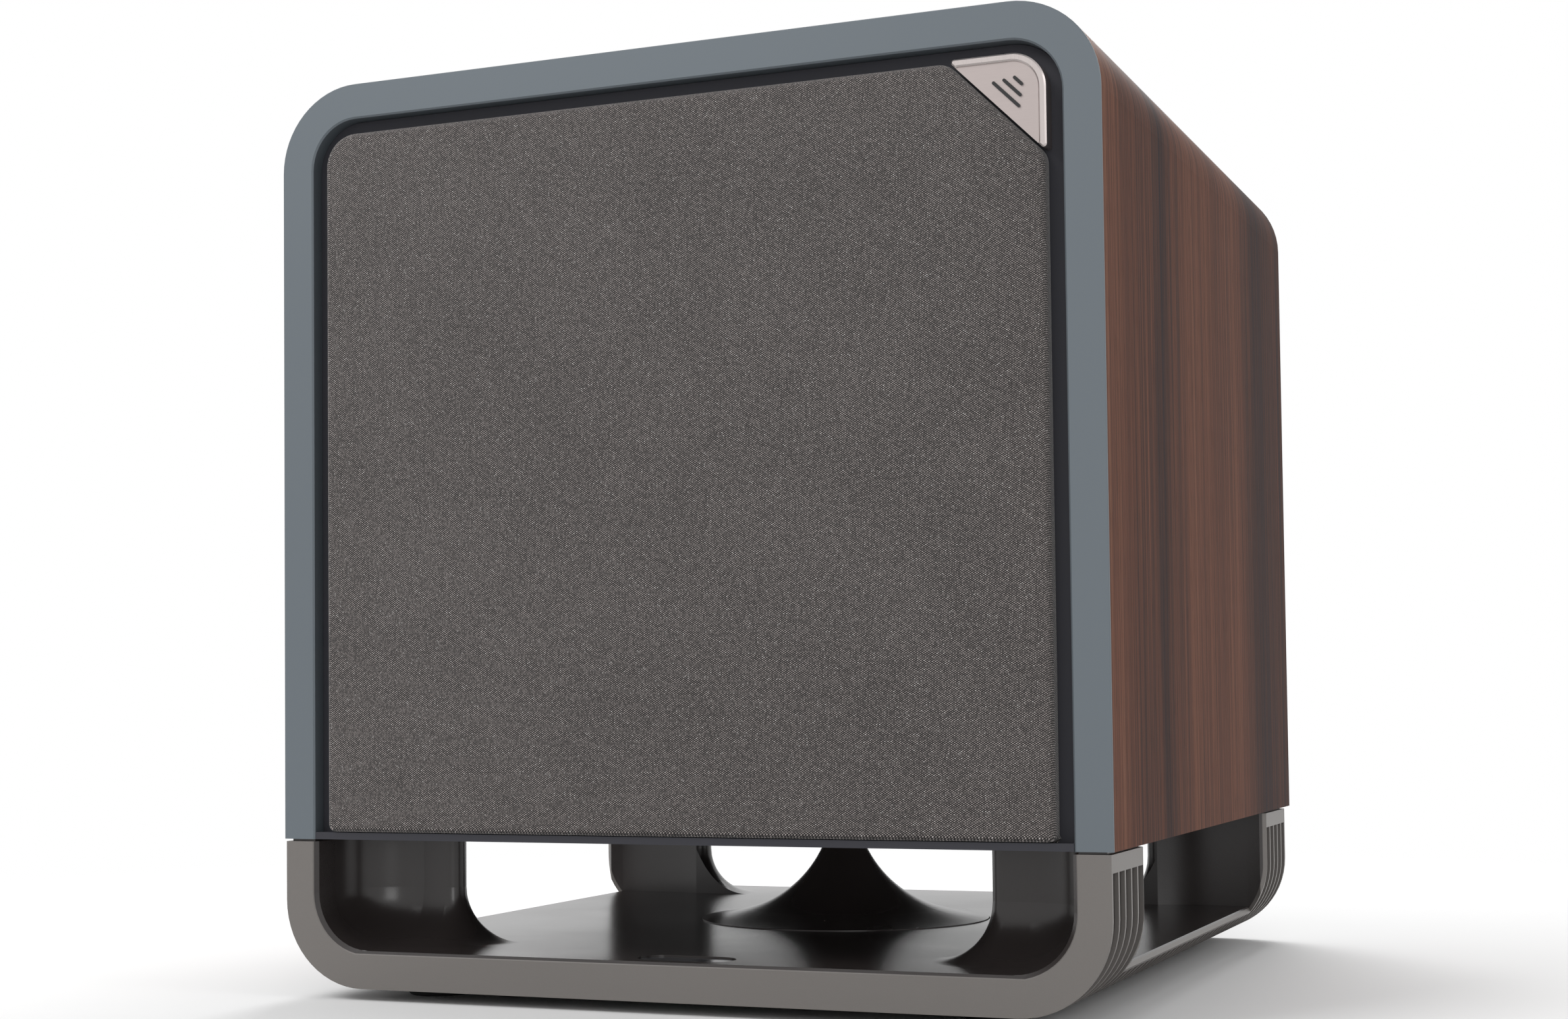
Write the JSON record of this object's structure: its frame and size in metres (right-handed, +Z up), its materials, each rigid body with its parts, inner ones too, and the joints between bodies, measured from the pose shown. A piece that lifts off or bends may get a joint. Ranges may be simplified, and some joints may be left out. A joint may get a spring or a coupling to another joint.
{
  "type": "powered subwoofer",
  "caption": "Powered subwoofer cabinet with a removable cloth grille, a front driver, a port that blows down into an open base, and rear amplifier controls.",
  "frame": {"origin": "on the floor, under the middle of the bounding box", "axes": "+Z up, the grille faces -Y, +X is to the right when looking at the grille"},
  "size_m": [0.362, 0.3994, 0.3925],
  "materials": {
    "wood_veneer": "dark walnut veneer with a satin lacquer, grain running up the sides and over the top",
    "board": "raw fibreboard",
    "black_board": "fibreboard under matte black paint",
    "bezel_paint": "blue-grey metallic paint with fine sparkle",
    "recess_plastic": "charcoal moulded plastic",
    "grille_plastic": "black moulded plastic",
    "grille_fabric": "taupe grille cloth with a fine weave",
    "badge_metal": "brushed champagne aluminium",
    "bright_metal": "polished bright metal",
    "basket_paint": "black powder coat on pressed steel",
    "surround_rubber": "matte butyl rubber",
    "cone_paper": "matte black coated cone",
    "spider_cloth": "resin-treated amber cloth",
    "copper": "enamelled copper wire",
    "former": "thin aluminium",
    "motor_steel": "zinc-plated steel",
    "magnet_ferrite": "dark grey ceramic ferrite",
    "screw_steel": "black oxide steel",
    "port_plastic": "black moulded plastic, fine texture",
    "base_plastic": "bronze-grey satin moulding, near black inside the mouth",
    "diffuser_plastic": "near-black satin moulding",
    "lens_plastic": "smoked translucent plastic",
    "circuit_board": "green solder mask",
    "foot_rubber": "black rubber",
    "amp_paint": "black powder coat on steel",
    "gasket_foam": "closed-cell foam",
    "heatsink_metal": "black anodised aluminium",
    "winding_tape": "amber polyester tape over the winding",
    "plated_steel": "zinc-plated steel",
    "component_black": "black sleeve and epoxy",
    "knob_plastic": "black moulded plastic",
    "pot_metal": "tinned steel",
    "jack_plastic": "black plastic",
    "jack_gold": "gold-flashed brass",
    "switch_plastic": "black plastic",
    "rocker_plastic": "glossy black plastic",
    "contact_metal": "nickel-plated brass",
    "fuse_glass": "clear glass tube",
    "felt": "grey polyester felt"
  },
  "bodies": {
    "cabinet": {"cabinet_wrap": "wood_veneer", "front_baffle": "black_board", "rear_panel": "black_board", "bottom_panel": "black_board", "cabinet_brace": "board", "damping_pads": "felt", "front_bezel": "bezel_paint", "recess_panel": "recess_plastic", "grille_sockets": "foot_rubber", "badge_plate": "badge_metal", "badge_trim": "bright_metal", "woofer_basket": "basket_paint", "woofer_gasket": "gasket_foam", "woofer_surround": "surround_rubber", "spider": "spider_cloth", "top_plate": "motor_steel", "magnet": "magnet_ferrite", "pole_yoke": "motor_steel", "woofer_terminals": "contact_metal", "woofer_screws": "screw_steel", "port_tube": "port_plastic", "port_screws": "screw_steel", "base_frame": "base_plastic", "status_light_lens": "lens_plastic", "status_light_board": "circuit_board", "port_diffuser": "diffuser_plastic", "diffuser_screws": "screw_steel", "base_screws": "screw_steel", "feet": "foot_rubber", "feet_screws": "plated_steel", "amp_plate": "amp_paint", "amp_gasket": "gasket_foam", "amp_screws": "screw_steel", "heatsink": "heatsink_metal", "amp_board": "circuit_board", "board_hardware": "plated_steel", "transformer": "winding_tape", "transformer_clamp": "plated_steel", "amp_components": "component_black", "volume_pot": "pot_metal", "low_pass_pot": "pot_metal", "jack_block": "jack_plastic", "jack_contacts": "jack_gold", "slide_switch_bodies": "switch_plastic", "rocker_frame": "jack_plastic", "mains_inlet": "jack_plastic", "inlet_contacts": "contact_metal"},
    "grille": {"grille_frame": "grille_plastic", "grille_cloth": "grille_fabric"},
    "cone": {"woofer_cone": "cone_paper", "dust_cap": "cone_paper", "coil_former": "former", "coil_winding": "copper"},
    "volume": {"volume_knob": "knob_plastic"},
    "low_pass": {"low_pass_knob": "knob_plastic"},
    "mode_lever": {"mode_switch_lever": "switch_plastic"},
    "phase_lever": {"phase_switch_lever": "switch_plastic"},
    "rocker": {"mains_rocker": "rocker_plastic"},
    "drawer": {"fuse_drawer": "jack_plastic", "fuse": "fuse_glass"}
  },
  "joints": [
    {"name": "grille_pull", "type": "slide", "parent": "cabinet", "child": "grille", "axis": [0, -1, 0], "range_m": [0, 0.06]},
    {"name": "cone_travel", "type": "slide", "parent": "cabinet", "child": "cone", "axis": [0, -1, 0], "range_m": [-0.008, 0.008], "stiffness_N_per_m": 3300, "deforming": ["woofer_surround", "spider"]},
    {"name": "volume_turn", "type": "hinge", "parent": "cabinet", "child": "volume", "pos_m": [0.052, 0.18465, 0.29925], "axis": [0, 1, 0], "range_deg": [-150, 150]},
    {"name": "low_pass_turn", "type": "hinge", "parent": "cabinet", "child": "low_pass", "pos_m": [-0.008, 0.18465, 0.29925], "axis": [0, 1, 0], "range_deg": [-150, 150]},
    {"name": "mode_slide", "type": "slide", "parent": "cabinet", "child": "mode_lever", "axis": [1, 0, 0], "range_m": [0, 0.008]},
    {"name": "phase_slide", "type": "slide", "parent": "cabinet", "child": "phase_lever", "axis": [1, 0, 0], "range_m": [0, 0.004]},
    {"name": "rocker_tilt", "type": "hinge", "parent": "cabinet", "child": "rocker", "pos_m": [0.008, 0.17965, 0.11325], "axis": [-1, 0, 0], "range_deg": [0, 20]},
    {"name": "drawer_slide", "type": "slide", "parent": "cabinet", "child": "drawer", "axis": [0, 1, 0], "range_m": [0, 0.013]}
  ]
}
